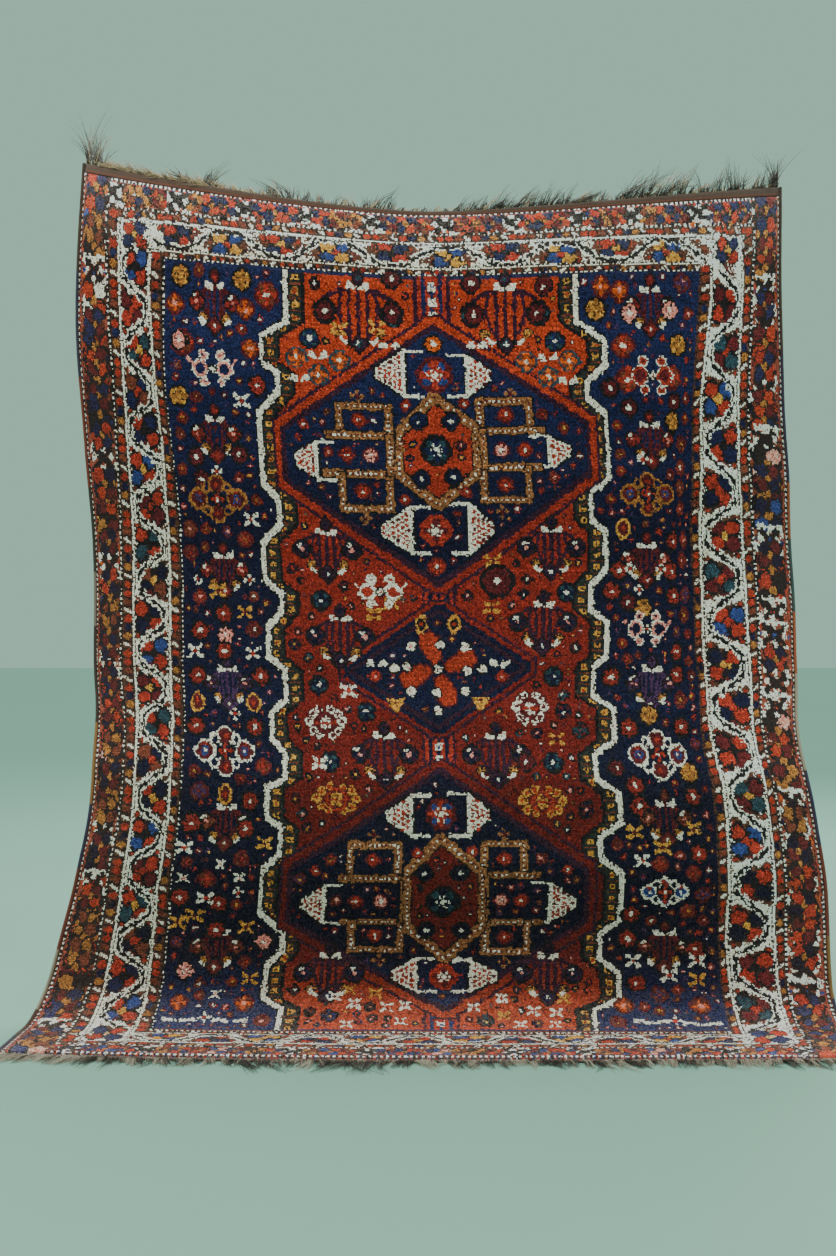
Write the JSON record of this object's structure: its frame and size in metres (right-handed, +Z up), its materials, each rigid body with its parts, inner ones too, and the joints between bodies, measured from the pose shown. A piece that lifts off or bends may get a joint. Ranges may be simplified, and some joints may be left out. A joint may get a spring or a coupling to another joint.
{
  "type": "shiraz rug",
  "caption": "Knotted wool rug with a medallion field and flat-woven fringed ends, hung by its top edge so that its foot turns forward onto the floor.",
  "frame": {"origin": "middle of the top edge, on the back face of the cloth", "axes": "+Z up, +X to the right seen from the pile side, -Y towards the viewer and the way the foot lies on the floor"},
  "size_m": [1.6153, 0.511, 1.837],
  "materials": {
    "pile": "wool pile in madder red, navy, ivory and ochre",
    "end_band": "flat-woven brown goat hair and undyed wool with loose ends",
    "selvedge": "wool wound round the edge cords in lengths of several colours"
  },
  "bodies": {
    "root": {"rug": "pile", "top_fringe": "end_band", "bottom_fringe": "end_band", "selvedge_left": "selvedge", "selvedge_right": "selvedge"}
  },
  "joints": []
}
